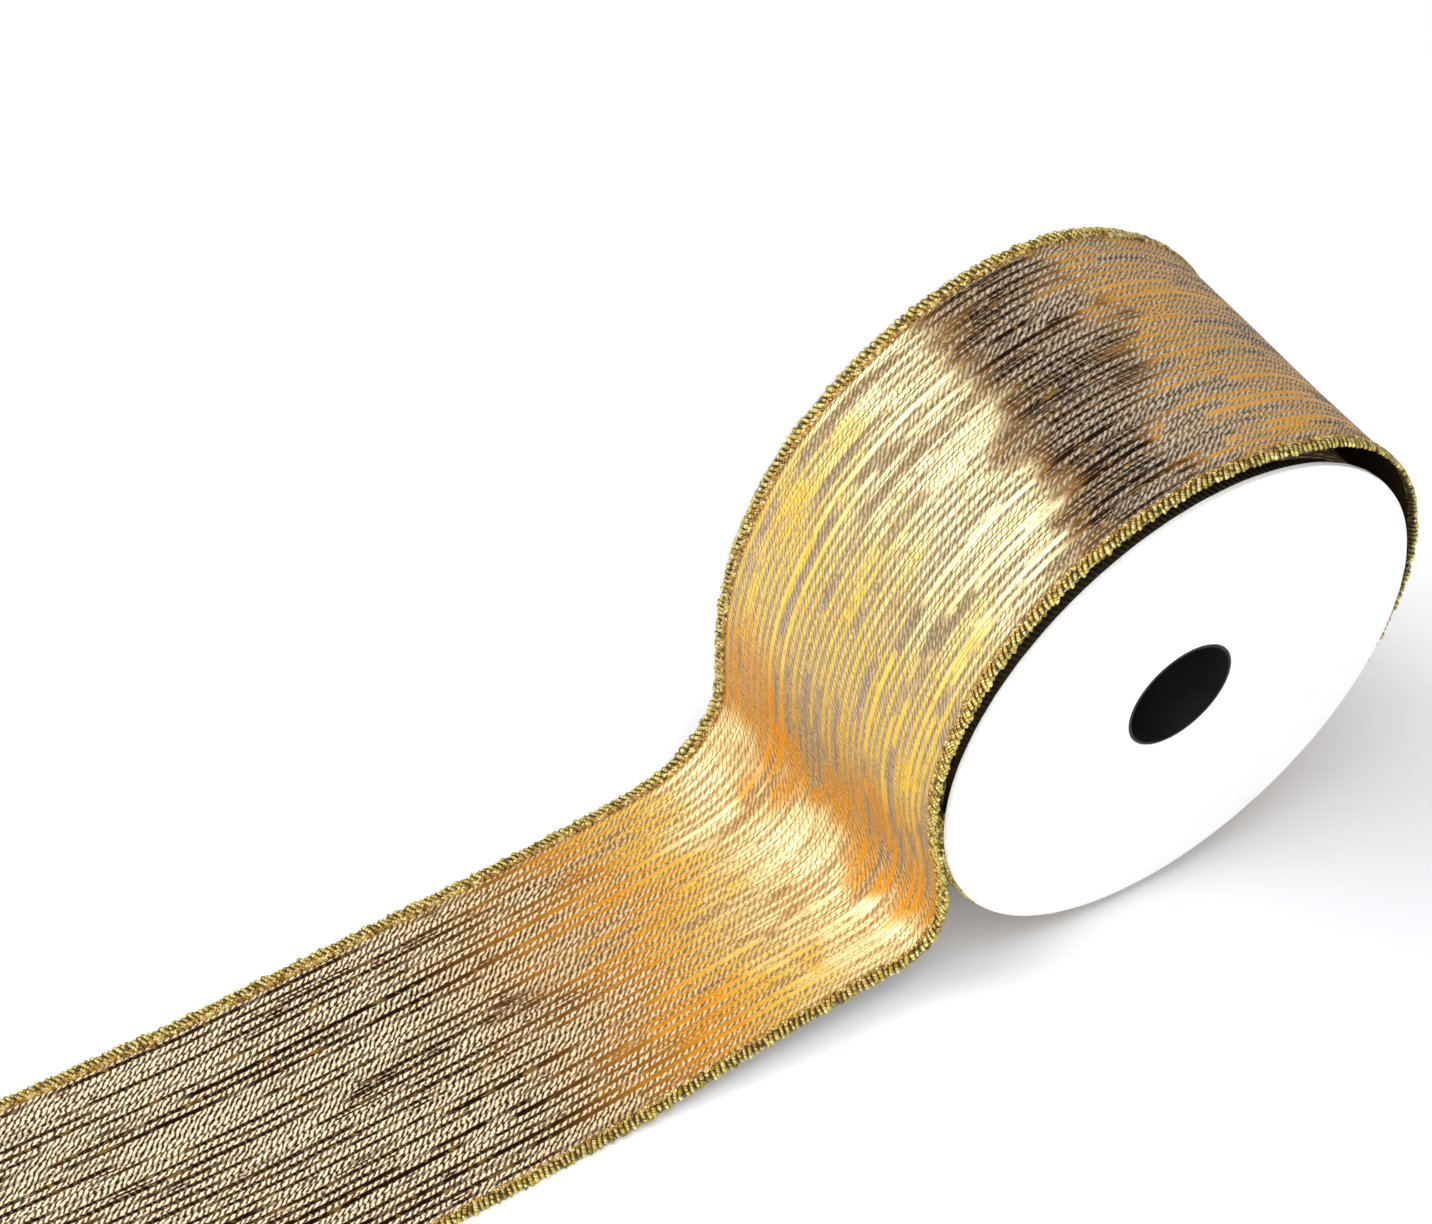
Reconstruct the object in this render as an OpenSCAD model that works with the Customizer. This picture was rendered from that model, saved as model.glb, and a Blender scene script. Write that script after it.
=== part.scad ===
// Ribbon spool: a roll of wired, metallic-streaked ribbon on a paperboard reel, with the loose end
// laid out on the table. Millimetres, +Z up, +Y along the bore from the front flange to the back one.
// The origin is the middle of the bore. The ribbon comes over the top, down the left side (-X) and
// away along the table towards -X.

/* [Reel] */
// Diameter of the paperboard flanges
flange_d = 104.8; // [104.2:0.1:105.6]
// Thickness of the paperboard
flange_t = 1.1; // [0.8:0.1:2]
// Diameter of the bore that a spindle goes through
bore_d = 22.2; // [20:0.1:23]
// Outside diameter of the core that the ribbon is wound on
core_d = 28; // [27.6:0.1:28.4]
// Diameter of the thin collar that is glued to each flange
collar_d = 44; // [36:1:60]
// Thickness of that collar
collar_t = 0.5; // [0.3:0.05:0.6]

/* [Ribbon] */
// Width of the ribbon over its bound edges
ribbon_w = 63.5; // [38:0.5:76]
// Length that the ribbon was cut to
cut_length = 9144; // [8600:1:9300]
// Thickness of the woven cloth
cloth_t = 0.26; // [0.2:0.01:0.3]
// Width of the overlocked thread binding on each edge
binding_w = 3; // [2.5:0.1:4]
// Thickness of the binding over the cloth
binding_t = 0.8; // [0.75:0.01:0.82]
// Diameter of the wire inside each binding
wire_d = 0.36; // [0.3:0.01:0.4]

/* [Loose end] */
// Radius of the bend where the ribbon turns out on to the table
bend_r = 10.5; // [8:0.5:12]
// Distance from the bore's centre to the cut end
reach = 228; // [150:1:300]
// Angle that the loose end swings towards the front
drift = 2.4; // [0:0.1:5]

/* [Hidden] */
$fn = 96;

BOARD = [0.95, 0.95, 0.94];
CORE_PLASTIC = [0.08, 0.07, 0.07];
GLUE = [0.82, 0.76, 0.58];
TAPE = [0.9, 0.88, 0.78];
CLOTH = [0.72, 0.58, 0.36];
GOLD_THREAD = [0.78, 0.66, 0.2];
WIRE = [0.6, 0.6, 0.62];

// Positions along the bore, from the middle outwards
side_gap = 0.1;
glue_t = 0.1;
collar_in = ribbon_w / 2 + side_gap;
collar_out = collar_in + collar_t;
flange_in = collar_out + glue_t;
flange_out = flange_in + flange_t;
bore_r = bore_d / 2;
core_r = core_d / 2;

// Core: a lip locates each flange, and a slotted spigot on one half snaps into the other
lip_wall = 0.5;
lip_gap = 0.05;
spigot_len = 12;
spigot_r = core_r - 1.3;
spigot_gap = 0.05;
slot_w = 2;
slot_len = 9;
slot_count = 4;
bead_h = 0.25;
bead_w = 1.2;
bead_at = 9.5;

// Tape that holds the ribbon's inner end on the core
tape_t = 0.08;
tape_w = 25;
tape_arc = 80;

// Ribbon's section: the binding is folded over the cloth's edge, with the wire in the fold, and it
// reaches less far in on the under side
fold_wall = 0.22;
edge_wall = 0.3;
under_w = binding_w - 0.3;
wire_sides = 8;
wire_in = ribbon_w / 2 - edge_wall - wire_d / 2 - 0.05;
cloth_w = 2 * (wire_in - wire_d / 2 - 0.05);

// Outer turn: four arcs that meet on the axes, each [centre x, centre z, radius, from, to].
// It starts on the wound turns, is slack below, right and on top, and lies close on the left.
slack_x = 0.5;
leave_at = 195;
lower_left = [0.2, -3.2, 51.2, -90, -150];
lower_right = [0.2, 1.3, 55.7, -90, 0];
upper_right = [slack_x, 1.3, 55.4, 0, 90];
upper_left = [slack_x, 2.5, 54.2, 90, leave_at];
OUTER_ARCS = [lower_left, lower_right, upper_right, upper_left];

// Loose end: straight down off the roll, round the bend, down a slight ramp and flat on the table
function arc_point(arc, angle) =
    [arc[0] + arc[2] * cos(angle), arc[1] + arc[2] * sin(angle)];
function ahead(from, angle, distance) =
    [from[0] + distance * cos(angle), from[1] + distance * sin(angle)];
function arc_length(arc) = PI * arc[2] * abs(arc[4] - arc[3]) / 180;
function total(list, i = 0) = i == len(list) ? 0 : list[i] + total(list, i + 1);

seam = 0.4;
table_z = lower_right[1] - lower_right[2];
fall_angle = leave_at + 90;
fall_len = 27;
ramp_slope = 4.5;
ramp_angle = 180 + ramp_slope;
ease_r = 150;
fall_start = arc_point(upper_left, leave_at);
fall_end = ahead(fall_start, fall_angle, fall_len);
bend_centre = ahead(fall_end, fall_angle - 90, bend_r);
bend_end = ahead(bend_centre, ramp_angle + 90, bend_r);
ease_drop = ease_r * (1 - cos(ramp_slope));
ramp_len = (bend_end[1] - table_z - ease_drop) / sin(ramp_slope);
ramp_end = ahead(bend_end, ramp_angle, ramp_len);
flat_start = ramp_end[0] - ease_r * sin(ramp_slope);
flat_len = reach + flat_start;
bend_angle = fall_angle - ramp_angle;
bend_steps = 24;
ease_steps = 4;

// Stations along it, each [x, z, angle of the way off the surface]; straight stretches need none
LOOSE_STATIONS = concat(
    [station(ahead(fall_start, fall_angle, seam), fall_angle - 270)],
    [for (i = [0 : bend_steps])
        let (angle = fall_angle - 270 - bend_angle * i / bend_steps)
            station(ahead(bend_centre, angle, bend_r), angle)],
    [for (i = [0 : ease_steps])
        let (angle = ramp_slope * (1 - i / ease_steps) - 90)
            station(ahead([flat_start, table_z + ease_r], angle, ease_r), angle)],
    [station([-reach, table_z], -90)]
);
function station(point, angle) = [point[0], point[1], angle + 180];

// Wound turns: half-turn arcs about two centres, which step out by half a pitch each time. They
// start and end on the left, where the outer turn takes over. There are as many whole turns as use
// up the length that the outer turn and loose end leave. The pitch is a round number, so that the
// ends of the arcs meet exactly.
pack_r = 50.8;
first_r = core_r + tape_t + 0.27 + binding_t / 2;
last_r = pack_r - binding_t / 2;
outer_length = total([for (arc = OUTER_ARCS) arc_length(arc)]);
loose_length = fall_len + PI * bend_r * bend_angle / 180 + ramp_len
    + PI * ease_r * ramp_slope / 180 + flat_len;
wound_length = cut_length - outer_length - loose_length;
half_turns = 2 * round(wound_length / (PI * (first_r + last_r)));
pitch = round(500 * (last_r - first_r) / (half_turns - 1)) / 250;

// ---- paths that carry a ribbon section ----

// Turns a section, drawn as [off the surface, towards the front], about an axis along Y
module along_arc(x, z, radius, from, to) {
    translate([x, 0, z])
        rotate([90, 0, 0])
            rotate([0, 0, from])
                rotate_extrude(angle = to - from)
                    translate([radius, 0])
                        children();
}

module wound_path() {
    for (k = [0 : half_turns - 1]) {
        lower = (k + 1) % 2;
        along_arc((lower * 2 - 1) * pitch / 4, 0, first_r + k * pitch / 2, lower * 180, lower * 180 + 180)
            children();
    }
}

module outer_path() {
    for (arc = OUTER_ARCS)
        along_arc(arc[0], arc[1], arc[2], arc[3], arc[4])
            children();
}

// Carries the section's points through the stations of the loose end; the back edge is mirrored
module loose_sweep(section, side = 1) {
    n = len(section);
    last = len(LOOSE_STATIONS) - 1;
    points = [for (s = LOOSE_STATIONS, p = section)
        [s[0] + p[0] * cos(s[2]), -p[1], s[1] + p[0] * sin(s[2])]];
    sides = [for (i = [0 : last - 1], j = [0 : n - 1])
        let (k = (j + 1) % n)
            [i * n + j, (i + 1) * n + j, (i + 1) * n + k, i * n + k]];
    first_end = [for (j = [0 : n - 1]) j];
    last_end = [for (j = [0 : n - 1]) last * n + n - 1 - j];
    translate([fall_start[0], 0, 0])
        rotate([0, 0, drift])
            translate([-fall_start[0], 0, 0])
                mirror([0, side == 1 ? 0 : 1, 0])
                    polyhedron(points, concat(sides, [first_end, last_end]));
}

// ---- the ribbon's sections, as points [off the surface, towards the front], for the front edge ----

function cloth_section() =
    let (x = cloth_t / 2, y = cloth_w / 2)
        [[-x, -y], [x, -y], [x, y], [-x, y]];

function binding_section() =
    let (x = binding_t / 2, slot_x = x - fold_wall, y = ribbon_w / 2)
        [[-x, y - under_w], [-slot_x, y - under_w], [-slot_x, y - edge_wall],
         [slot_x, y - edge_wall], [slot_x, y - binding_w], [x, y - binding_w], [x, y], [-x, y]];

function wire_section() =
    [for (i = [0 : wire_sides - 1])
        let (angle = i * 360 / wire_sides)
            [wire_d / 2 * cos(angle), wire_in + wire_d / 2 * sin(angle)]];

// A section as a flat shape, with side -1 for the back edge
module cloth_shape() {
    polygon(cloth_section());
}

module binding_shape(side) {
    mirror([0, side == 1 ? 0 : 1])
        polygon(binding_section());
}

module wire_shape(side) {
    translate([0, side * wire_in])
        circle(d = wire_d, $fn = 24);
}

// In the wound turns the wire is a square bar of the same area
module wound_wire_shape(side) {
    translate([0, side * wire_in])
        square(wire_d * sqrt(PI) / 2, center = true);
}

// ---- the reel; a tube along Y from one distance to another, on the front (1) or back (-1) side ----

module ring(side, from, to, r_in, r_out) {
    rotate([side * 90, 0, 0])
        translate([0, 0, from])
            difference() {
                cylinder(r = r_out, h = to - from);
                translate([0, 0, -1])
                    cylinder(r = r_in, h = to - from + 2);
            }
}

module flange(side) {
    color(BOARD)
        ring(side, flange_in, flange_out, bore_r + lip_wall + lip_gap, flange_d / 2);
}

module glue_ring(side) {
    color(GLUE)
        ring(side, collar_out, flange_in, core_r + 1, collar_d / 2 - 1.5);
}

// Collar, locating lip and barrel, up to the plane where the two halves meet
module core_end(side, barrel_from) {
    ring(side, collar_in, collar_out, bore_r, collar_d / 2);
    ring(side, collar_out, flange_out, bore_r, bore_r + lip_wall);
    ring(side, barrel_from, collar_in, bore_r, core_r);
}

module front_flange() {
    flange(1);
}

module back_flange() {
    flange(-1);
}

module front_glue_ring() {
    glue_ring(1);
}

module back_glue_ring() {
    glue_ring(-1);
}

module front_core_half() {
    color(CORE_PLASTIC) {
        core_end(1, 0);
        difference() {
            union() {
                ring(-1, 0, spigot_len, bore_r, spigot_r);
                ring(-1, bead_at - bead_w / 2, bead_at + bead_w / 2, bore_r, spigot_r + bead_h);
            }
            for (i = [0 : slot_count - 1])
                rotate([0, i * 360 / slot_count, 0])
                    translate([-slot_w / 2, spigot_len - slot_len, 0])
                        cube([slot_w, slot_len + 1, core_r]);
        }
    }
}

module back_core_half() {
    socket_r = spigot_r + spigot_gap;
    groove_w = bead_w + 2 * spigot_gap;
    color(CORE_PLASTIC)
        difference() {
            core_end(-1, spigot_gap);
            ring(-1, -1, spigot_len + spigot_gap, 1, socket_r);
            ring(-1, bead_at - groove_w / 2, bead_at + groove_w / 2, 1, socket_r + bead_h);
        }
}

module core_tape() {
    color(TAPE)
        along_arc(0, 0, core_r + 0.02, 180, 180 + tape_arc)
            translate([0, -tape_w / 2])
                square([tape_t, tape_w]);
}

// ---- the ribbon ----

module wound_cloth() {
    color(CLOTH) wound_path() cloth_shape();
}

module wound_front_binding() {
    color(GOLD_THREAD) wound_path() binding_shape(1);
}

module wound_back_binding() {
    color(GOLD_THREAD) wound_path() binding_shape(-1);
}

module wound_front_wire() {
    color(WIRE) wound_path() wound_wire_shape(1);
}

module wound_back_wire() {
    color(WIRE) wound_path() wound_wire_shape(-1);
}

module outer_turn_cloth() {
    color(CLOTH) outer_path() cloth_shape();
}

module outer_turn_front_binding() {
    color(GOLD_THREAD) outer_path() binding_shape(1);
}

module outer_turn_back_binding() {
    color(GOLD_THREAD) outer_path() binding_shape(-1);
}

module outer_turn_front_wire() {
    color(WIRE) outer_path() wire_shape(1);
}

module outer_turn_back_wire() {
    color(WIRE) outer_path() wire_shape(-1);
}

module loose_end_cloth() {
    color(CLOTH) loose_sweep(cloth_section());
}

module loose_end_front_binding() {
    color(GOLD_THREAD) loose_sweep(binding_section());
}

module loose_end_back_binding() {
    color(GOLD_THREAD) loose_sweep(binding_section(), -1);
}

module loose_end_front_wire() {
    color(WIRE) loose_sweep(wire_section());
}

module loose_end_back_wire() {
    color(WIRE) loose_sweep(wire_section(), -1);
}

front_flange();
back_flange();
front_core_half();
back_core_half();
front_glue_ring();
back_glue_ring();
core_tape();
wound_cloth();
wound_front_binding();
wound_back_binding();
wound_front_wire();
wound_back_wire();
outer_turn_cloth();
outer_turn_front_binding();
outer_turn_back_binding();
outer_turn_front_wire();
outer_turn_back_wire();
loose_end_cloth();
loose_end_front_binding();
loose_end_back_binding();
loose_end_front_wire();
loose_end_back_wire();
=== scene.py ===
"""Ribbon spool: the woven ribbon, its bound edges and the board flanges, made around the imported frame.

Shapes are worked out in millimetres, in the frame's own axes (+Z up, +Y along the bore, towards
the back flange), and stored in metres. Angles round the roll start at +X and turn towards +Z.
"""
import math

import bmesh
import bpy
import numpy as np
from mathutils import Matrix, Vector


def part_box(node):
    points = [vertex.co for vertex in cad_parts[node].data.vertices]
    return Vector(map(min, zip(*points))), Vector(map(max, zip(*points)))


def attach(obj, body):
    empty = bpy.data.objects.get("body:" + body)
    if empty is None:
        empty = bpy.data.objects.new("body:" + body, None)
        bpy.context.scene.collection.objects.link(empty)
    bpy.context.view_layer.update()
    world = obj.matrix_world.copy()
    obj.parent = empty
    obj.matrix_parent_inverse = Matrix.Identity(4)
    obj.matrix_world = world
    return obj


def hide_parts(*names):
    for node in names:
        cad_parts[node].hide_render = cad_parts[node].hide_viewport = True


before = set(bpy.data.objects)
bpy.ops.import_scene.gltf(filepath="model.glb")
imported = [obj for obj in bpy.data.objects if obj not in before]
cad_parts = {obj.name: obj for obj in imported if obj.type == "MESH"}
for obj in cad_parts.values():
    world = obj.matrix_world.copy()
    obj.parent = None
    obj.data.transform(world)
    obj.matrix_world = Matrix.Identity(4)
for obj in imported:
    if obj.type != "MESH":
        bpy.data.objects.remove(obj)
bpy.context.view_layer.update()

MM = 0.001

# ---- sizes, in millimetres ----

RIBBON_W = 63.5
EDGE_Y = RIBBON_W / 2
CLOTH_T = 0.26
BINDING_W = 3.0
TABLE_Z = -54.8
TAIL_Z = -54.4  # middle of the ribbon where it lies flat
DRIFT = math.tan(math.radians(2.4))  # how far the loose end swings to the front, per mm of run
SWING_X = -51.85
STITCH_PITCH = 1.2
FLANGE_R = 52.4
FLANGE_HOLE_R = 11.65

# wound turns: half-turn arcs about two centres, as the frame has them
FIRST_R = 14.75
LAST_R = 50.4
HALF_TURNS = 84
TURN_PITCH = round(500 * (LAST_R - FIRST_R) / (HALF_TURNS - 1)) / 250


# ---- shader writing ----


class Value:
    """A socket in an expression: arithmetic on it adds Math nodes to its tree."""

    def __init__(self, tree, socket):
        self.tree, self.socket = tree, socket

    def math(self, operation, *others):
        return self.tree.node("Math", dict(operation=operation), self, *others)

    def __add__(self, other):
        return self.math("ADD", other)

    def __sub__(self, other):
        return self.math("SUBTRACT", other)

    def __rsub__(self, other):
        return self.tree.node("Math", dict(operation="SUBTRACT"), other, self)

    def __mul__(self, other):
        return self.math("MULTIPLY", other)

    def __truediv__(self, other):
        return self.math("DIVIDE", other)

    def __pow__(self, other):
        return self.math("POWER", other)

    def __lt__(self, other):
        return self.math("LESS_THAN", other)

    __radd__ = __add__
    __rmul__ = __mul__


class Finish:
    """A material of one Principled shader; its node() makes any other node."""

    def __init__(self, name, **constants):
        self.material = bpy.data.materials.new(name)
        self.material.use_nodes = True
        self.nodes = self.material.node_tree.nodes
        self.shader = self.nodes["Principled BSDF"]
        for socket, value in constants.items():
            self.shader.inputs[socket.replace("_", " ")].default_value = value

    def put(self, socket, value):
        if isinstance(value, Value):
            self.material.node_tree.links.new(value.socket, socket)
        else:
            socket.default_value = value

    def node(self, kind, settings=None, *values, out=0, **named):
        """A node of that kind: its settings, then its sockets in order or by name."""
        made = self.nodes.new("ShaderNode" + kind)
        for key, value in (settings or {}).items():
            if key == "stops":
                ramp = made.color_ramp
                while len(ramp.elements) < len(value):
                    ramp.elements.new(1.0)
                for element, (at, colour) in zip(ramp.elements, value):
                    element.position, element.color = at, (*colour, 1)
            else:
                setattr(made, key, value)
        for socket, value in zip(made.inputs, values):
            self.put(socket, value)
        for key, value in named.items():
            self.put(made.inputs[key.replace("_", " ")], value)
        return Value(self, made.outputs[out])

    def surface(self, **sockets):
        for key, value in sockets.items():
            self.put(self.shader.inputs[key.replace("_", " ")], value)
        return self.material

    def split(self, vector):
        parts = self.node("SeparateXYZ", None, vector)
        outs = parts.socket.node.outputs
        return [Value(self, outs[i]) for i in range(3)]

    def run_and_across(self):
        """The piece's own UV map: millimetres along the ribbon, and across it."""
        along, across, _ = self.split(self.node("UVMap", dict(uv_map="UVMap")))
        return along, across

    def at(self, x, y, z=0.0):
        return self.node("CombineXYZ", None, x, y, z)

    def noise(self, vector, scale=1.0, detail=2.0, roughness=0.5):
        return self.node(
            "TexNoise", None, Vector=vector, Scale=scale, Detail=detail, Roughness=roughness
        )

    def chance(self, vector):
        """A number from 0 to 1 for each different vector."""
        return self.node("TexWhiteNoise", None, vector)

    def wave(self, turns):
        """From 0 to 1 and back, once for each turn."""
        return 0.5 + 0.5 * (turns * math.tau).math("SINE")

    def step(self, value, low, high):
        """0 below low, 1 above high, smooth between."""
        return self.node(
            "MapRange", dict(interpolation_type="SMOOTHSTEP"),
            value, From_Min=low, From_Max=high, To_Min=0.0, To_Max=1.0,
        )

    def mix(self, amount, a, b):
        """Colour a where amount is 0, b where it is 1."""
        made = self.node("Mix", dict(data_type="RGBA"), out=2)
        inputs = made.socket.node.inputs
        self.put(inputs[0], amount)
        self.put(inputs[6], a if isinstance(a, Value) else (*a, 1))
        self.put(inputs[7], b if isinstance(b, Value) else (*b, 1))
        return made

    def ramp(self, value, *stops):
        return self.node("ValToRGB", dict(stops=stops), value)

    def bump(self, height, distance, strength=1.0):
        return self.node("Bump", None, Height=height, Distance=distance, Strength=strength)


# ---- mesh writing ----


def surface_mesh(name, points, uv=None, round_v=False, caps=False):
    """A mesh over points[i, j], in mm; round_v joins the last column to the first, and caps closes
    the two end rings. uv[i, j] has one more column than points where round_v is set."""
    rows, columns = points.shape[:2]
    i, j = np.meshgrid(
        np.arange(rows - 1), np.arange(columns if round_v else columns - 1), indexing="ij"
    )
    i, j = i.ravel(), j.ravel()
    k = (j + 1) % columns
    here, there = i * columns, (i + 1) * columns
    faces = np.stack([here + j, there + j, there + k, here + k], 1).tolist()
    if caps:
        faces.append(list(range(columns)))
        faces.append(list(range((rows - 1) * columns, rows * columns))[::-1])
    mesh = bpy.data.meshes.new(name)
    mesh.from_pydata((points.reshape(-1, 3) * MM).tolist(), [], faces)
    if uv is not None:
        loops = np.stack([uv[i, j], uv[i + 1, j], uv[i + 1, j + 1], uv[i, j + 1]], 1).reshape(-1, 2)
        spare = len(mesh.loops) - len(loops)
        loops = np.concatenate([loops, np.zeros((spare, 2))])
        mesh.uv_layers.new(name="UVMap").data.foreach_set("uv", loops.astype(np.float32).ravel())
    mesh.polygons.foreach_set("use_smooth", np.ones(len(mesh.polygons), bool))
    mesh.update()
    made = bpy.data.objects.new(name, mesh)
    bpy.context.scene.collection.objects.link(made)
    return made


def unit(vectors):
    return vectors / np.linalg.norm(vectors, axis=-1, keepdims=True)


def tube(name, path, ref, half_side, half_up, sides, uv_along, uv_across):
    """An elliptical tube along path: at each point, half_side along (tangent x ref) and half_up
    along ref made square to the tangent. Both half sizes may vary along the path."""
    tangent = unit(np.gradient(path, axis=0))
    side = unit(np.cross(tangent, ref))
    up = np.cross(side, tangent)
    turn = np.arange(sides) / sides * math.tau
    half_side = np.broadcast_to(half_side, len(path))[:, None, None]
    half_up = np.broadcast_to(half_up, len(path))[:, None, None]
    ring = (
        path[:, None]
        + side[:, None] * np.cos(turn)[:, None] * half_side
        - up[:, None] * np.sin(turn)[:, None] * half_up
    )
    around = np.arange(sides + 1) / sides
    uv = np.stack(
        [np.broadcast_to(uv_along[:, None], (len(path), sides + 1)),
         uv_across[:, None] + 0.3 * np.sin(around * math.tau)[None]], -1
    )
    return surface_mesh(name, ring, uv, round_v=True, caps=True)


# ---- the ribbon's run off the roll ----


def hill(angle, centre, width):
    """1 at centre, falling away on both sides as a bell of that width."""
    return np.exp(-(((angle - centre) / width) ** 2))


def smooth(values, reach, times=2):
    """A running mean over reach samples either side, with the ends held."""
    weights = np.ones(2 * reach + 1) / (2 * reach + 1)
    for _ in range(times):
        padded = np.concatenate([2 * values[:1] - values[reach:0:-1], values,
                                 2 * values[-1:] - values[-2:-reach - 2:-1]])
        values = np.stack([np.convolve(padded[:, c], weights, "valid")
                           for c in range(values.shape[1])], 1)
    return values


def roll_outline(angle, slack):
    """The outer turn seen from the front: four arcs that meet on the axes, plus the slack."""
    arcs = np.array([[0.2, -3.2, 51.2], [0.2, 1.3, 55.7], [0.5, 1.3, 55.4], [0.5, 2.5, 54.2]])
    centre_x, centre_z, radius = arcs[np.clip(np.floor(angle / 90).astype(int) + 2, 0, 3)].T
    turn = np.radians(angle)
    radius = radius + slack
    return np.stack([centre_x + radius * np.cos(turn), centre_z + radius * np.sin(turn)], 1)


def edge_run(slack, free, end_x):
    """One edge of the ribbon from where it leaves the wound turns to its cut end, as x and z.

    The roll part follows roll_outline; then a smooth line goes through the free points, each
    [x, z], and straight on along the table. A running mean rounds the joins."""
    angle = np.arange(-176.0, 184.0, 2.0)
    roll = roll_outline(angle, slack(angle))
    flat = np.array([[end_x, TAIL_Z]])
    knots = np.concatenate([roll, free, flat])
    gap = np.linalg.norm(np.diff(knots, axis=0), axis=1)
    at = np.concatenate([[0], np.cumsum(gap)])
    sample = 0.25
    fine = np.arange(0, at[-1], sample)
    line = np.stack([np.interp(fine, at, knots[:, c]) for c in range(2)], 1)
    line = smooth(line, 9, 3)
    return line, at[len(roll)]


def even(line, count, start=0.0, end=None):
    """count points evenly spaced along a polyline, between two distances along it."""
    gap = np.linalg.norm(np.diff(line, axis=0), axis=1)
    at = np.concatenate([[0], np.cumsum(gap)])
    want = np.linspace(start, at[-1] if end is None else end, count)
    return np.stack([np.interp(want, at, line[:, c]) for c in range(line.shape[1])], 1)


def front_slack(angle):
    """The front edge lies just outside the flange's rim over the top and left, stands off at the
    upper right, and is drawn in underneath."""
    return np.interp(
        angle, [-180, -165, -145, -120, -70, -40, 25, 45, 57, 74, 110, 135, 160, 180],
        [0.1, 0.1, -0.5, -0.9, -0.9, 0, 0.1, -0.4, -0.9, -2.8, -2.2, -1.0, -0.5, 0],
    )


def back_slack(angle):
    """The back edge lies closer over the whole top, and its threads just touch the table."""
    return (-2.1 * hill(angle, 56, 24) - 1.4 * hill(angle, 104, 25) - 1.5 * hill(angle, 138, 20)
            - 1.0 * hill(angle, 166, 10) - 0.35 * hill(angle, -90, 40))


# Down off the roll, round the bend and down to the table, at matching distances on both edges
FRONT_FREE = np.array([
    [-53.7, -1], [-52.5, -9], [-50.4, -16], [-47.7, -23], [-45.3, -29.5], [-44.2, -34],
    [-43.8, -38.5], [-44.4, -42.5], [-46.2, -45.7], [-49.7, -47.4], [-54.7, -47.8], [-64, -48.2],
    [-75.5, -49.2], [-89, -50.5], [-101, -52.2], [-112, -53.7], [-124, -54.4],
])
BACK_FREE = np.array([
    [-53.9, -1], [-53.8, -9], [-53, -16], [-51.8, -23.5], [-50.3, -30.5], [-49.8, -35],
    [-50.4, -39.5], [-52.2, -43.4], [-54.3, -46.6], [-57.1, -49.4], [-61, -51.6], [-69.6, -53],
    [-81, -53.9], [-94, -54.3], [-106, -54.4], [-117, -54.4], [-129, -54.4],
])


def lead_edges(count):
    """The two edges of the unwound ribbon as points in space, count stations each, and the
    distance along it at each station."""
    edges = []
    for slack, free, end_x, y in (
        (front_slack, FRONT_FREE, -226.6, -EDGE_Y),
        (back_slack, BACK_FREE, -229.2, EDGE_Y),
    ):
        line, leave = edge_run(slack, free, end_x)
        first = int(count * 0.6)
        on_roll = even(line, first, 0.0, leave)
        off_roll = even(line, count - first + 1, leave)[1:]
        run = np.concatenate([on_roll, off_roll])
        swing = DRIFT * np.log1p(np.exp(np.clip((SWING_X - run[:, 0]) / 4, -30, 30))) * 4
        edges.append(np.stack([run[:, 0], y - swing, run[:, 1]], 1))
    front, back = edges
    middle = (front + back) / 2
    along = np.concatenate([[0], np.cumsum(np.linalg.norm(np.diff(middle, axis=0), axis=1))])
    return front, back, along


EDGE_STATIONS = 1400
LEAD_STATIONS = 620
FRONT_EDGE, BACK_EDGE, LEAD_ALONG = lead_edges(EDGE_STATIONS)
ACROSS = unit(BACK_EDGE - FRONT_EDGE)
LEAD_LENGTH = LEAD_ALONG[-1]


def lead_frame(edge, along):
    """Point, way in across the cloth, and way off the surface, of one edge at given distances."""
    line = FRONT_EDGE if edge > 0 else BACK_EDGE
    up = unit(np.cross(ACROSS, np.gradient(line, axis=0)))
    return [
        np.stack([np.interp(along, LEAD_ALONG, field[:, c]) for c in range(3)], 1)
        for field in (line, ACROSS * edge, up)
    ]


def cloth_ripple(along, across):
    """Height of the cloth's slight cockle between its wired edges: two long waves that die out
    at both edges and stay under 0.3 mm."""
    inner = np.clip(1 - (across / EDGE_Y) ** 2, 0, 1)
    waves = np.sin(along / 17 + across / 21) + 0.6 * np.sin(along / 7.3 - across / 9 + 1.1)
    return 0.13 * waves * inner


def lead_cloth():
    """The unwound cloth: straight lines from the front edge to the back one at each station,
    plus the cockle along the way off the surface."""
    lines = 48
    along = np.linspace(0, LEAD_LENGTH, LEAD_STATIONS)
    front, _, up = lead_frame(1, along)
    back = lead_frame(-1, along)[0]
    share = np.linspace(0.012, 0.988, lines)
    across = (share - 0.5) * RIBBON_W
    points = front[:, None] + (back - front)[:, None] * share[None, :, None]
    points = points + up[:, None] * cloth_ripple(along[:, None], across[None])[..., None]
    uv = np.stack(np.broadcast_arrays(along[:, None], across[None]), -1)
    made = surface_mesh("unwound_cloth", points, uv)
    wall = made.modifiers.new("thickness", "SOLIDIFY")
    wall.thickness = CLOTH_T * MM
    wall.offset = 0
    return made


def random_turns(seed, turns, amount):
    """One random number for each stitch, read smoothly between stitches."""
    draws = np.random.default_rng(seed).uniform(-amount, amount, int(turns[-1]) + 3)
    return np.interp(turns, np.arange(len(draws)), draws)


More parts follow.
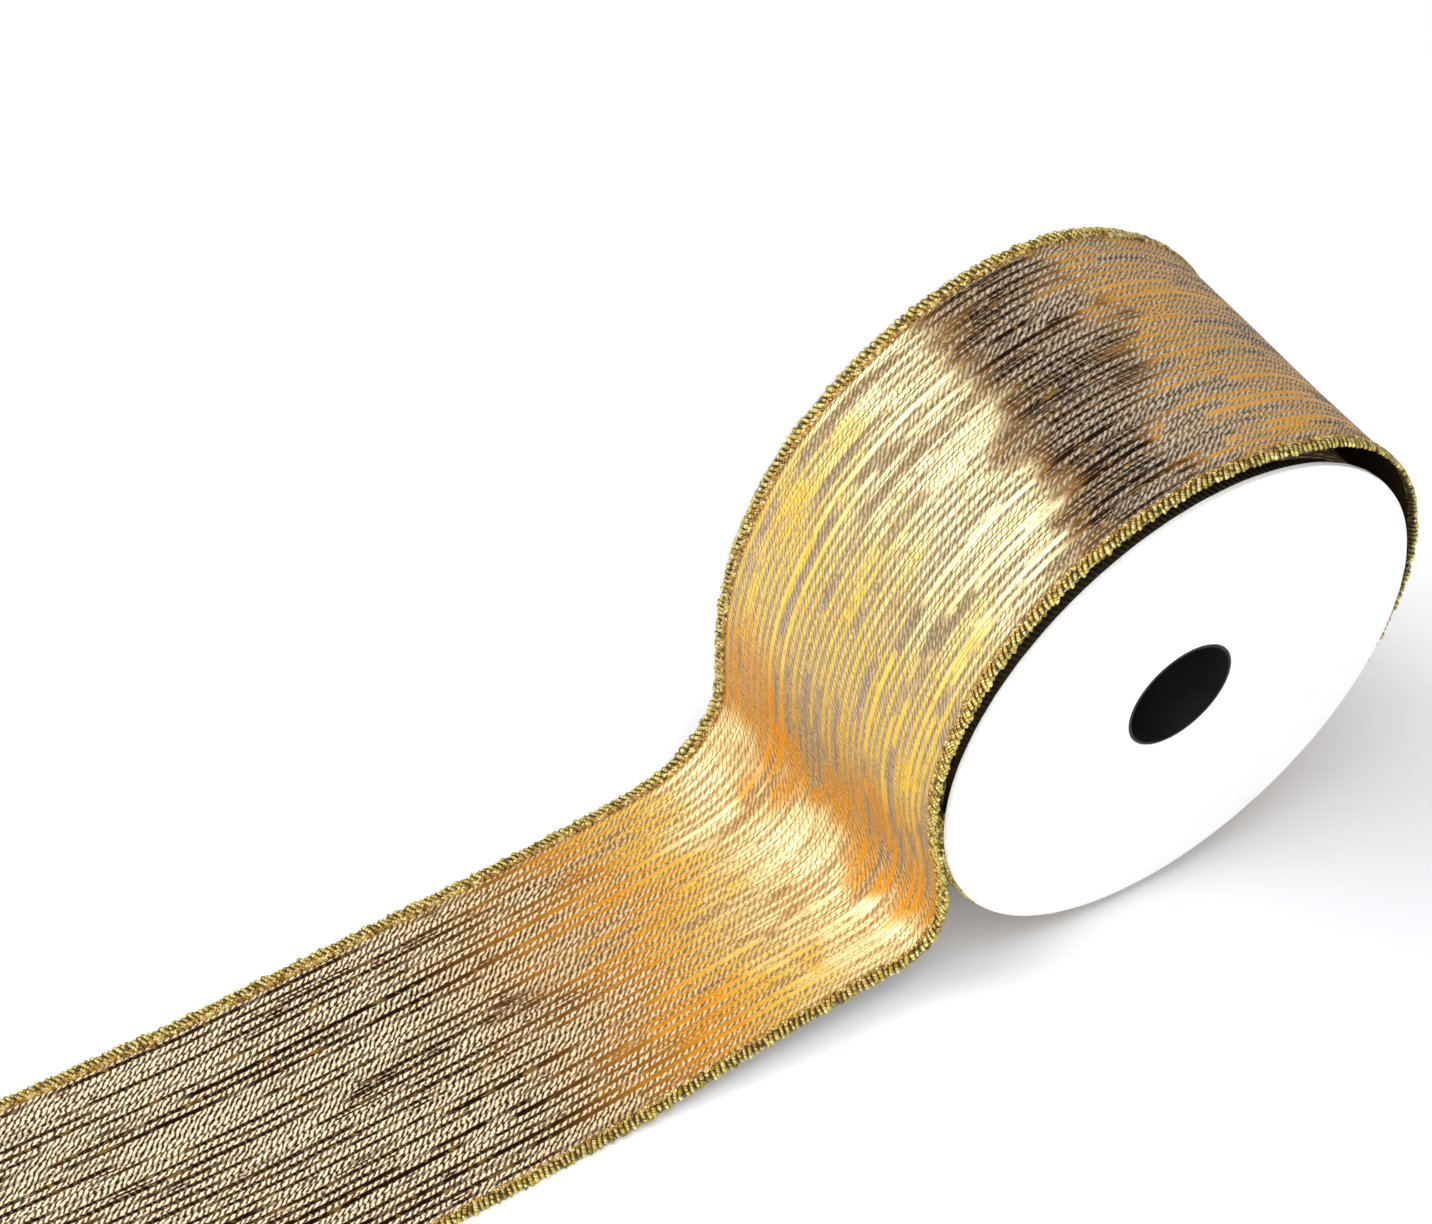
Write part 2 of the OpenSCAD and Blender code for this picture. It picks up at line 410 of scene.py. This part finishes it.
def edge_stitches(name, edge, seed):
    """The overlocked thread: a flattened helix round the cloth's edge, one turn a stitch. Its
    height is an ellipse with a low under side, and it leans forward towards the outer edge."""
    steps = 18
    count = int((LEAD_LENGTH - 3) / STITCH_PITCH)
    turns = np.arange(count * steps + 1) / steps
    phase = turns * math.tau
    half_w = BINDING_W / 2 - 0.25 + random_turns(seed, turns, 0.28)
    out = half_w * np.cos(phase)
    rise = np.sin(phase)
    height = np.where(rise > 0, 0.42 + random_turns(seed + 1, turns, 0.16), 0.1) * (
        np.sign(rise) * np.abs(rise) ** 0.7)
    lean = 0.75 + random_turns(seed + 2, turns, 0.35)
    along = 1.5 + STITCH_PITCH * turns + lean * np.cos(phase)
    point, inward, up = lead_frame(edge, along)
    path = point + inward * (BINDING_W / 2 - out)[:, None] + up * height[:, None]
    ref = up * rise[:, None] - inward * (0.8 * np.cos(phase))[:, None]
    fat = 0.4 + random_turns(seed + 3, turns, 0.11)
    return tube(name, path, ref, fat, 0.25, 6, along, out)


def edge_chain(name, edge, seed):
    """The needle thread that locks the stitches: a wavy line along the inner side of the
    binding, up and over once for each stitch."""
    steps = 8
    count = int((LEAD_LENGTH - 3) / STITCH_PITCH)
    turns = np.arange(count * steps + 1) / steps
    along = 1.5 + STITCH_PITCH * turns
    wobble = random_turns(seed, turns, 0.12)
    inset = 2.35 + wobble + 0.28 * np.sin(turns * math.tau)
    height = 0.42 + 0.14 * np.sin(turns * math.tau * 2 + 0.8)
    point, inward, up = lead_frame(edge, along)
    path = point + inward * inset[:, None] + up * height[:, None]
    return tube(name, path, up, 0.24, 0.2, 6, along, -0.8 - inset * 0.1)


def edge_filler(name, edge):
    """The folded cloth and laid thread under the stitches: a flat rounded tube."""
    along = np.linspace(0, LEAD_LENGTH, LEAD_STATIONS)
    point, inward, up = lead_frame(edge, along)
    path = point + inward * (BINDING_W / 2) - up * 0.02
    return tube(name, path, up, BINDING_W / 2 - 0.3, 0.3, 12, along, np.zeros(len(along)))


def edge_wire(name, edge):
    """The soft wire in the fold, sticking out half a millimetre past the cut end."""
    along = np.linspace(0, LEAD_LENGTH, LEAD_STATIONS)
    point, inward, up = lead_frame(edge, along)
    path = point + inward * 0.55 - up * 0.02
    path[-1] += [-0.5, 0, 0]
    return tube(name, path, up, 0.18, 0.18, 8, along, np.zeros(len(along)))


# ---- the wound turns ----


def spiral(turn):
    """A point of the wound turns at an angle in half turns from the inner end: half-turn arcs
    whose radius grows by half a pitch, about centres a quarter pitch left and right."""
    k = np.minimum(np.floor(turn), HALF_TURNS - 1)
    lower = (k + 1) % 2
    angle = (turn + 1) * math.pi
    radius = FIRST_R + k * TURN_PITCH / 2
    x = (lower * 2 - 1) * TURN_PITCH / 4 + radius * np.cos(angle)
    return x, radius * np.sin(angle), angle


def wound_run():
    """Stations along the wound turns: half-turn number and distance along the ribbon."""
    turn = np.concatenate([k + np.arange(24) / 24 for k in range(HALF_TURNS)] + [[HALF_TURNS]])
    x, z, _ = spiral(turn)
    gaps = np.hypot(np.diff(x), np.diff(z))
    return turn, np.concatenate([[0], np.cumsum(gaps)])


WOUND_TURN, WOUND_ALONG = wound_run()


def wound_cloth():
    """The wound cloth: the spiral carried across the ribbon's width."""
    x, z, _ = spiral(WOUND_TURN)
    across = np.linspace(-EDGE_Y + 0.6, EDGE_Y - 0.6, 9)
    points = np.stack(np.broadcast_arrays(x[:, None], across[None], z[:, None]), -1)
    uv = np.stack(np.broadcast_arrays(-WOUND_ALONG[::-1, None], across[None]), -1)
    made = surface_mesh("wound_ribbon_cloth", points[:, ::-1], uv[:, ::-1])
    wall = made.modifiers.new("thickness", "SOLIDIFY")
    wall.thickness = CLOTH_T * MM
    wall.offset = 0
    return made


def wound_binding(name, edge):
    """The bound edge of the wound turns: a flat rounded section carried round the spiral."""
    x, z, angle = spiral(WOUND_TURN)
    section = np.arange(10) / 10 * math.tau
    outward = np.cos(section)
    width = BINDING_W / 2 - 0.05
    off = 0.36 * np.sin(section) * np.abs(np.sin(section)) ** -0.3
    off = np.where(np.abs(np.sin(section)) < 1e-6, 0, off)
    y = -edge * (EDGE_Y - BINDING_W / 2 + width * outward)
    radial = np.stack([np.cos(angle), np.sin(angle)], 1)
    points = np.stack([
        x[:, None] + radial[:, :1] * off[None],
        np.broadcast_to(y[None], (len(x), len(section))),
        z[:, None] + radial[:, 1:] * off[None],
    ], -1)
    around = np.arange(11) / 10 * math.tau
    uv = np.stack(np.broadcast_arrays(WOUND_ALONG[:, None], 1.5 * np.cos(around)[None]), -1)
    if edge > 0:
        points, uv = points[:, ::-1], uv[:, ::-1]
    return surface_mesh(name, points, uv, round_v=True, caps=True)


# ---- the board flanges ----


def flange_board(name, node, side):
    """A die-cut disc of coated board: a profile with rounded cut edges turned about the bore, a
    shallow pressed ring round the hole, and a dish and warp of under 0.2 mm that grow to the rim."""
    low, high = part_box(node)
    rim = (high.x - low.x) / 2 / MM
    outer_y = max(abs(low.y), abs(high.y)) / MM
    inner_y = min(abs(low.y), abs(high.y)) / MM
    hole = FLANGE_HOLE_R
    lip = 0.16
    face = np.concatenate([
        np.linspace(hole + lip, hole + 0.7, 4), hole + 0.85 + np.arange(5) * 0.07,
        np.linspace(hole + 1.4, rim - lip, 22),
    ])
    arc = np.radians(np.arange(0, 91, 22.5))
    radius = np.concatenate([
        face, rim - lip + lip * np.sin(arc), rim - lip + lip * np.cos(arc),
        face[::-1], hole + lip - lip * np.sin(arc), hole + lip - lip * np.cos(arc),
    ])
    crease = -0.05 * hill(face, hole + 0.99, 0.09)
    depth = np.concatenate([
        outer_y + crease, outer_y - lip + lip * np.cos(arc), inner_y + lip - lip * np.sin(arc),
        np.full(len(face), inner_y), inner_y + lip - lip * np.cos(arc),
        outer_y - lip + lip * np.sin(arc),
    ])
    turn = np.arange(288) / 288 * math.tau
    share = (radius / rim)[None] ** 2
    warp = 0.06 * share * (np.sin(2 * turn + side) + 0.5 * np.sin(3 * turn + 2))[:, None]
    cut = 1 + 0.0006 * np.sin(turn * 31 + 3 * np.sin(turn * 7))[:, None] * (share > 0.97)
    radius = radius[None] * cut
    y = -side * (depth[None] - 0.09 * share + warp)
    points = np.stack([radius * np.cos(turn)[:, None], y, radius * np.sin(turn)[:, None]], -1)
    points = np.concatenate([points, points[:1]])
    if side < 0:
        points = points[:, ::-1]
    made = surface_mesh(name, points, None, round_v=True)
    return weld(made)


def weld(made):
    """Joins the first and last ring of a turned surface."""
    work = bmesh.new()
    work.from_mesh(made.data)
    bmesh.ops.remove_doubles(work, verts=work.verts, dist=1e-6)
    bmesh.ops.recalc_face_normals(work, faces=work.faces)
    work.to_mesh(made.data)
    work.free()
    made.data.polygons.foreach_set("use_smooth", np.ones(len(made.data.polygons), bool))
    return made


# ---- finishes ----

# Foil colours: the cream one is a painted highlight and the darkest one a painted dark reflection
PAINTED_HIGHLIGHT_FOIL = (1.0, 0.88, 0.48)
STRAW_FOIL = (0.94, 0.72, 0.24)
GOLD_FOIL = (0.9, 0.6, 0.08)
ORANGE_FOIL = (0.82, 0.34, 0.02)
AMBER_FOIL = (0.86, 0.42, 0.055)
BROWN_FOIL = (0.16, 0.06, 0.012)
PAINTED_DARK_REFLECTION_FOIL = (0.012, 0.004, 0.001)
BAND_SPAN = 600.0  # mm of ribbon that the colour bands, with their painted highlights and painted dark reflections, are laid out over
ROW_PITCH = 1.7
RIB_PITCH = 1.45
RIB_LEAN = 1.42  # how far a rib runs along the ribbon, per mm across it


def bands(m, along, *stops):
    """A colour for each place along the ribbon: stops are (mm from its start, colour)."""
    return m.ramp(along / BAND_SPAN, *[(at / BAND_SPAN, colour) for at, colour in stops])


def share_bands(m, along, *stops):
    """The same for a number from 0 to 1 in place of a colour."""
    return bands(m, along, *[(at, (share,) * 3) for at, share in stops])


def ribbon_cloth_finish():
    """Woven cloth with lengthwise metallic yarns. The ground is short ribs that lean along the
    ribbon, painted lighter on top with painted shade between them; a foil yarn lies in every row for
    long stretches of its length and shows as dark dots between the ribs where it goes under, in colours
    of painted shade, and a few thinner yarns run between the rows. The colours of ground and foil go
    through bands along the ribbon, partly their own colours and partly painted light: cream bands are
    painted highlights, dark bands painted dark reflections, and the ground's painted light and shade
    follow them. Small painted glints lie on the foil."""
    m = Finish("ribbon_cloth", Specular_IOR_Level=0.1)
    along, across = m.run_and_across()
    jitter = m.noise(m.at(along * 0.35, across * 0.35), detail=2.0) - 0.5
    drift = m.noise(m.at(along * 0.03, across * 0.07), detail=3.0, roughness=0.7) - 0.5
    place = along + drift * 55 + across * 0.12

    ground_row = (across / ROW_PITCH + 0.5).math("FLOOR")
    offset = m.chance(m.at(ground_row, 11.0))
    ribs = along / RIB_PITCH + across * (RIB_LEAN / RIB_PITCH) + jitter * 1.6 + offset
    rib = m.wave(ribs)
    fine = m.wave(ribs * 2 + across * 0.9 + jitter * 3)
    tone = m.noise(m.at(along * 0.9, across * 0.8), detail=4.0, roughness=0.6)
    # Painted light and shade: each band has a lit colour for the rib tops and a shade colour for the
    # troughs, darker through the dark band and warmer in the highlight bands
    light = bands(
        m, place, (0, (0.58, 0.47, 0.33)), (225, (0.62, 0.52, 0.38)), (262, (0.48, 0.41, 0.3)),
        (282, (0.5, 0.4, 0.25)), (303, (0.45, 0.36, 0.23)), (335, (0.52, 0.42, 0.3)),
        (372, (0.66, 0.44, 0.21)), (386, (0.62, 0.45, 0.21)), (412, (0.66, 0.49, 0.25)),
        (440, (0.78, 0.61, 0.36)), (470, (0.9, 0.75, 0.5)),
    )
    shade = bands(
        m, place, (0, (0.22, 0.14, 0.07)), (225, (0.24, 0.16, 0.085)), (262, (0.1, 0.065, 0.035)),
        (282, (0.17, 0.1, 0.035)), (306, (0.22, 0.145, 0.06)), (335, (0.3, 0.2, 0.11)),
        (372, (0.32, 0.17, 0.05)), (386, (0.36, 0.2, 0.06)), (412, (0.26, 0.13, 0.035)),
        (440, (0.14, 0.065, 0.018)), (470, (0.075, 0.032, 0.01)),
    )
    loose = m.step(place, 395.0, 450.0)  # 0 on the roll and 1 on the loose end
    grain = m.noise(m.at(along * 1.5, across * 1.7, 9.0), detail=2.0, roughness=0.6) - 0.5
    yarn = rib * (0.55 + loose * 0.25) + fine * 0.2 + (tone - 0.5) * 1.1 + grain * 1.5
    ground = m.mix(m.step(yarn, 0.12, 0.78), shade, light)

    # More foil shows in the dark band and at the bend, so the painted dark reflection and painted
    # highlight fill more of the cloth there
    cover = share_bands(
        m, place, (0, 0.6), (215, 0.72), (242, 0.72), (262, 0.95), (276, 0.86), (300, 0.8),
        (335, 0.76), (350, 0.66), (372, 0.9), (386, 0.94), (412, 0.8), (440, 0.72), (480, 0.68),
    )
    patch = m.noise(m.at(along * 0.03, across * 0.07), detail=3.0) - 0.5
    level = 0.7 - cover * 0.34 - patch * (0.35 - loose * 0.2)
    foil_there, dots = None, None
    for seed, shift, width, length, lift in (
        (0, 0.0, 0.6, 42, 0.0), (7, 0.5, 0.3, 18, 0.13), (3, 0.27, 0.22, 60, 0.17),
    ):
        rows = across / ROW_PITCH + jitter * 0.16 + shift
        row = rows.math("FLOOR")
        off_middle = (rows.math("FRACT") - 0.5).math("ABSOLUTE")
        luck = m.chance(m.at(row, seed))
        run = m.noise(m.at(along / length + luck * 40, row * 3.7), detail=3.0, roughness=0.65)
        thick = width / ROW_PITCH * (0.6 + luck * 0.55)
        line = m.step(off_middle, thick, thick * 0.55)
        up = m.step(run, level + lift - 0.04, level + lift + 0.04)
        part = line * up * (1 - m.step(rib, 0.3, 0.0) * (luck < 0.7) * 0.8)
        foil_there = part if foil_there is None else foil_there.math("MAXIMUM", part)
        if dots is None:
            # painted shade along the gaps between rows where no foil lies
            groove_shade = m.step(off_middle, 0.2, 0.04) * (1 - up)
            dots = line * (1 - up) * m.step(rib + tone * 0.6, 0.85, 0.6)

    # Foil colour along the ribbon, partly painted light: cream stretches are painted highlights over the
    # roll and at the bend, dark stretches painted dark reflections on the roll's top and along the loose
    # end
    foil = bands(
        m, place, (0, BROWN_FOIL), (150, GOLD_FOIL), (205, AMBER_FOIL), (242, AMBER_FOIL),
        (247, BROWN_FOIL), (252, PAINTED_DARK_REFLECTION_FOIL), (270, PAINTED_DARK_REFLECTION_FOIL), (276, BROWN_FOIL),
        (283, PAINTED_HIGHLIGHT_FOIL), (296, PAINTED_HIGHLIGHT_FOIL), (305, STRAW_FOIL), (319, GOLD_FOIL),
        (345, GOLD_FOIL), (360, ORANGE_FOIL), (374, ORANGE_FOIL), (381, PAINTED_HIGHLIGHT_FOIL),
        (394, PAINTED_HIGHLIGHT_FOIL), (404, GOLD_FOIL), (422, ORANGE_FOIL), (444, BROWN_FOIL),
        (462, PAINTED_DARK_REFLECTION_FOIL),
    )
    speck = m.noise(m.at(along * 0.6, across * 1.3), detail=2.0)
    # painted glints: orange highlight spots on the foil
    glint = m.noise(m.at(along * 0.16, across * 0.5, 4.0), detail=2.0)
    foil = m.mix(m.step(speck, 0.58, 0.68) * 0.6, foil, (0.5, 0.23, 0.04))
    foil = m.mix(m.step(glint, 0.58, 0.7) * 0.4, foil, (0.62, 0.33, 0.07))
    foil = m.mix(m.step(tone, 0.42, 0.28) * 0.5, foil, shade)
    # Dot colours are painted shade in the gaps where the foil yarn goes under, set to the painted dark
    # reflection in the dark band and on the loose end
    dot = bands(
        m, place, (0, (0.14, 0.085, 0.04)), (235, (0.12, 0.07, 0.03)), (254, PAINTED_DARK_REFLECTION_FOIL),
        (268, PAINTED_DARK_REFLECTION_FOIL), (288, (0.2, 0.125, 0.05)), (335, (0.3, 0.2, 0.11)),
        (405, (0.28, 0.16, 0.05)), (440, (0.06, 0.025, 0.006)), (462, PAINTED_DARK_REFLECTION_FOIL),
    )
    # painted shade in the gaps between rows, then the dots
    ground = m.mix(groove_shade * 0.5, ground, shade)
    ground = m.mix(dots * 0.9, ground, dot)
    colour = m.mix(foil_there, ground, foil)
    height = rib * 0.5 + fine * 0.15 + foil_there * 0.5 - dots * 0.5
    return m.surface(
        Base_Color=colour,
        Metallic=foil_there * 0.35,
        Roughness=0.78 - foil_there * 0.38,
        Normal=m.bump(height, 0.0002, 0.8),
    )


def ribbon_reverse_finish():
    """The back of the cloth: the same slanting ribs in dark brown yarn, without the foil, painted near
    black as the shade inside the slack outer turn.
    """
    m = Finish("ribbon_reverse_painted_shade", Specular_IOR_Level=0.1)
    along, across = m.run_and_across()
    jitter = m.noise(m.at(along * 0.35, across * 0.35), detail=2.0) - 0.5
    rib = m.wave(along / RIB_PITCH - across * (RIB_LEAN / RIB_PITCH) + jitter * 1.6)
    row = m.wave(across / ROW_PITCH + jitter * 0.3)
    tone = m.noise(m.at(along * 0.9, across * 0.8), detail=3.0, roughness=0.6)
    # painted shade: the brown yarn darkened to near black
    colour = m.mix(rib * 0.6 + tone * 0.5, (0.008, 0.005, 0.002), (0.07, 0.042, 0.018))
    return m.surface(
        Base_Color=colour, Roughness=0.8, Normal=m.bump(rib * 0.6 + row * 0.3, 0.0002, 0.8)
    )


def gold_thread_finish():
    """Metallised thread: olive gold, greener at the outer edge and more orange inside, spun in
    two plies with painted shade between them, with painted highlights and darker stitches here and
    there."""
    m = Finish("gold_thread", Specular_IOR_Level=0.5)
    along, across = m.run_and_across()
    ply = m.wave(along * 1.9 + across * 1.3)
    tone = m.noise(m.at(along * 0.8, across * 1.4), detail=3.0, roughness=0.6)
    inner = m.step(across, 0.5, -0.9)
    colour = m.mix(inner, (0.68, 0.54, 0.09), (0.55, 0.28, 0.04))
    # painted highlights: bright spots where tone is high
    colour = m.mix(m.step(tone, 0.48, 0.62) * 0.9, colour, (1.0, 0.9, 0.4))
    colour = m.mix(m.step(tone, 0.48, 0.38) * 0.9, colour, (0.05, 0.03, 0.005))
    # painted shade in the troughs between the plies
    colour = m.mix((1 - ply) * 0.5, colour, (0.16, 0.1, 0.015))
    return m.surface(
        Base_Color=colour, Metallic=0.45, Roughness=0.3 + tone * 0.25,
        Normal=m.bump(ply, 0.00012, 0.8),
    )


def filler_finish():
    """Dull brown thread and cloth under the stitches, painted near black as the shade there."""
    m = Finish("binding_filler_painted_shade")
    along, across = m.run_and_across()
    tone = m.noise(m.at(along * 1.5, across * 2), detail=2.0)
    # painted shade: colours near black
    colour = m.mix(tone, (0.012, 0.007, 0.002), (0.07, 0.04, 0.01))
    return m.surface(Base_Color=colour, Roughness=0.8, Normal=m.bump(tone, 0.0001, 0.6))


def wound_binding_shade_finish():
    """The same thread packed edge to edge, where little light reaches, painted near black as that shade:
    leaning stitches, dull.
    """
    m = Finish("wound_gold_thread_painted_shade")
    along, across = m.run_and_across()
    stitch = m.wave(along / STITCH_PITCH + across * 0.3)
    tone = m.noise(m.at(along * 0.35, across * 0.6), detail=3.0)
    # painted shade: colours near black
    colour = m.mix(stitch, (0.006, 0.004, 0.002), (0.06, 0.04, 0.012))
    colour = m.mix(m.step(tone, 0.5, 0.7) * 0.4, colour, (0.08, 0.045, 0.012))
    return m.surface(
        Base_Color=colour, Roughness=0.6, Normal=m.bump(stitch, 0.0003, 0.9)
    )


def board_finish(name):
    """Coated white board: faint mottling and a smooth skin on the faces, and pale pressed fibre
    in layers on the cut edges."""
    m = Finish(name, Specular_IOR_Level=0.35)
    place = m.node("TexCoord", out=3)
    x, y, z = m.split(place)
    radius = (x * x + z * z) ** 0.5 * 1000
    mottle = m.noise(place, scale=160.0, detail=4.0)
    fibre = m.noise(place, scale=2200.0, detail=3.0)
    layers = m.wave(y * 1000 / 0.24 + fibre * 0.8)
    rim = m.step(radius, FLANGE_R - 0.13, FLANGE_R - 0.07)
    hole = m.step(radius, FLANGE_HOLE_R + 0.11, FLANGE_HOLE_R + 0.05)
    cut = rim.math("MAXIMUM", hole)
    face = m.mix(mottle, (0.9, 0.9, 0.9), (0.945, 0.945, 0.945))
    edge = m.mix(layers * 0.5 + fibre * 0.5, (0.6, 0.58, 0.55), (0.86, 0.85, 0.83))
    return m.surface(
        Base_Color=m.mix(cut, face, edge),
        Roughness=0.42 + mottle * 0.08 + cut * 0.4,
        Normal=m.bump(mottle * 0.3 + cut * fibre, 0.00006, 0.35),
    )


def core_plastic_finish():
    """Moulded black plastic with a fine satin grain."""
    m = Finish("core_plastic", Specular_IOR_Level=0.3)
    place = m.node("TexCoord", out=3)
    grain = m.noise(place, scale=900.0, detail=3.0)
    colour = m.mix(grain, (0.006, 0.0045, 0.004), (0.014, 0.011, 0.009))
    return m.surface(Base_Color=colour, Roughness=0.5 + grain * 0.2,
                     Normal=m.bump(grain, 0.00004, 0.5))


def glue_finish():
    """Dried glue, cream and a little glossy, with a stringy surface."""
    m = Finish("dried_glue")
    place = m.node("TexCoord", out=3)
    string = m.noise(place, scale=420.0, detail=4.0)
    colour = m.mix(string, (0.5, 0.42, 0.22), (0.72, 0.66, 0.44))
    return m.surface(Base_Color=colour, Roughness=0.3 + string * 0.2,
                     Normal=m.bump(string, 0.0001, 0.5))


def tape_finish():
    """Creped paper tape: fine creases along the bore."""
    m = Finish("paper_tape")
    place = m.node("TexCoord", out=3)
    x, y, z = m.split(place)
    crepe = m.noise(m.at(x * 1800, y * 120, z * 1800), detail=3.0)
    colour = m.mix(crepe, (0.62, 0.55, 0.38), (0.8, 0.74, 0.58))
    return m.surface(Base_Color=colour, Roughness=0.7, Normal=m.bump(crepe, 0.00006, 0.6))


def wire_finish():
    """Soft drawn steel wire with faint draw lines and dull patches."""
    m = Finish("edge_wire")
    place = m.node("TexCoord", out=3)
    patch = m.noise(place, scale=350.0, detail=3.0)
    colour = m.mix(patch, (0.42, 0.42, 0.43), (0.6, 0.6, 0.62))
    return m.surface(Base_Color=colour, Metallic=0.9, Roughness=0.3 + patch * 0.25)


# ---- making and placing the pieces ----

CLOTH = ribbon_cloth_finish()
REVERSE_SHADE = ribbon_reverse_finish()
THREAD = gold_thread_finish()
FILLER_SHADE = filler_finish()
WIRE = wire_finish()
WOUND_THREAD_SHADE = wound_binding_shade_finish()
CORE = core_plastic_finish()
GLUE = glue_finish()
TAPE = tape_finish()


def dress(piece, material, body):
    piece.data.materials.clear()
    piece.data.materials.append(material)
    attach(piece, body)


def place_unwound_ribbon():
    cloth = lead_cloth()
    # the mesh's own faces are the ribbon's back; the shell that its thickness adds is the face
    # the back's near-black colour is painted shade
    dress(cloth, REVERSE_SHADE, "unwound_ribbon")
    cloth.data.materials.append(CLOTH)
    cloth.modifiers["thickness"].material_offset = 1
    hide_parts("outer_turn_cloth", "loose_end_cloth")
    trims = []
    for edge, word, seed in ((1, "front", 10), (-1, "back", 20)):
        stitches = edge_stitches(f"{word}_edge_stitches", edge, seed)
        dress(stitches, THREAD, "unwound_ribbon")
        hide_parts(f"outer_turn_{word}_binding", f"loose_end_{word}_binding")
        chain = edge_chain(f"{word}_edge_chain", edge, seed + 5)
        dress(chain, THREAD, "unwound_ribbon")
        filler = edge_filler(f"{word}_edge_filler", edge)
        dress(filler, FILLER_SHADE, "unwound_ribbon")
        wire = edge_wire(f"{word}_edge_wire", edge)
        dress(wire, WIRE, "unwound_ribbon")
        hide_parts(f"outer_turn_{word}_wire", f"loose_end_{word}_wire")
        trims += [stitches, chain, filler, wire]


def place_wound_ribbon():
    cloth = wound_cloth()
    dress(cloth, CLOTH, "reel")
    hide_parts("wound_cloth")
    for edge, word in ((1, "front"), (-1, "back")):
        binding = wound_binding(f"wound_{word}_edge", edge)
        dress(binding, WOUND_THREAD_SHADE, "reel")
        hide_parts(f"wound_{word}_binding")


def place_reel():
    for side, word in ((1, "front"), (-1, "back")):
        board = flange_board(f"{word}_flange_board", f"{word}_flange", side)
        dress(board, board_finish(f"{word}_white_board"), "reel")
        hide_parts(f"{word}_flange")
    for node, material in (
        ("front_core_half", CORE), ("back_core_half", CORE), ("front_glue_ring", GLUE),
        ("back_glue_ring", GLUE), ("core_tape", TAPE), ("wound_front_wire", WIRE),
        ("wound_back_wire", WIRE),
    ):
        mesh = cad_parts[node].data
        mesh.materials.clear()
        mesh.materials.append(material)


def softbox(name, direction, distance, size, power):
    """An area light in that direction from the spool, turned to face it."""
    light = bpy.data.lights.new(name, "AREA")
    light.shape = "RECTANGLE"
    light.size, light.size_y = size
    light.energy = power
    lamp = bpy.data.objects.new(name, light)
    way = Vector(direction).normalized()
    turn = way.to_track_quat("Z", "Y").to_matrix().to_4x4()
    lamp.matrix_world = Matrix.Translation(way * distance) @ turn
    bpy.context.scene.collection.objects.link(lamp)


def place_stage():
    """Floor, soft lights and the world."""
    bpy.context.scene.view_settings.view_transform = "Standard"
    span = np.linspace(-2600, 2600, 3)
    x, y = np.meshgrid(span, span, indexing="ij")
    floor = surface_mesh("floor", np.stack([x, y, np.full_like(x, TABLE_Z)], -1))
    m = Finish("pale_floor", Roughness=0.85, Specular_IOR_Level=0.1)
    floor.data.materials.append(m.surface(Base_Color=(0.97, 0.97, 0.975, 1)))

    world = bpy.data.worlds.new("studio")
    bpy.context.scene.world = world
    world.use_nodes = True
    sky = world.node_tree.nodes["Background"]
    sky.inputs["Color"].default_value = (0.9, 0.92, 1.0, 1)
    sky.inputs["Strength"].default_value = 0.34

    softbox("left_back_softbox", (-0.61, 0.5, 0.62), 1.0, (0.8, 0.8), 8)
    softbox("front_softbox", (-0.5, -0.9, 0.5), 1.3, (1.1, 0.8), 9)
    softbox("top_softbox", (-0.3, -0.2, 1.0), 1.6, (1.2, 1.2), 11)


def place_camera():
    """The camera looks down at the spool from the front left, turned a little about its own
    axis."""
    data = bpy.data.cameras.new("camera")
    data.sensor_width = 36
    data.lens = 180.7
    data.clip_start, data.clip_end = 0.05, 20
    camera = bpy.data.objects.new("camera", data)
    azimuth, elevation, roll = (math.radians(a) for a in (-45.65, 44.82, 12.47))
    forward = Vector((-math.sin(azimuth) * math.cos(elevation),
                      math.cos(azimuth) * math.cos(elevation), -math.sin(elevation)))
    level = Vector((math.cos(azimuth), math.sin(azimuth), 0))
    raised = level.cross(forward)
    right = level * math.cos(roll) + raised * math.sin(roll)
    up = right.cross(forward)
    aim = Vector((-52.15, 33.2, -14.2)) * MM
    distance = 1.301
    turn = Matrix((right, up, -forward)).transposed().to_4x4()
    camera.matrix_world = Matrix.Translation(aim - forward * distance) @ turn
    bpy.context.scene.collection.objects.link(camera)
    bpy.context.scene.camera = camera


place_camera()
place_stage()
place_unwound_ribbon()
place_wound_ribbon()
place_reel()
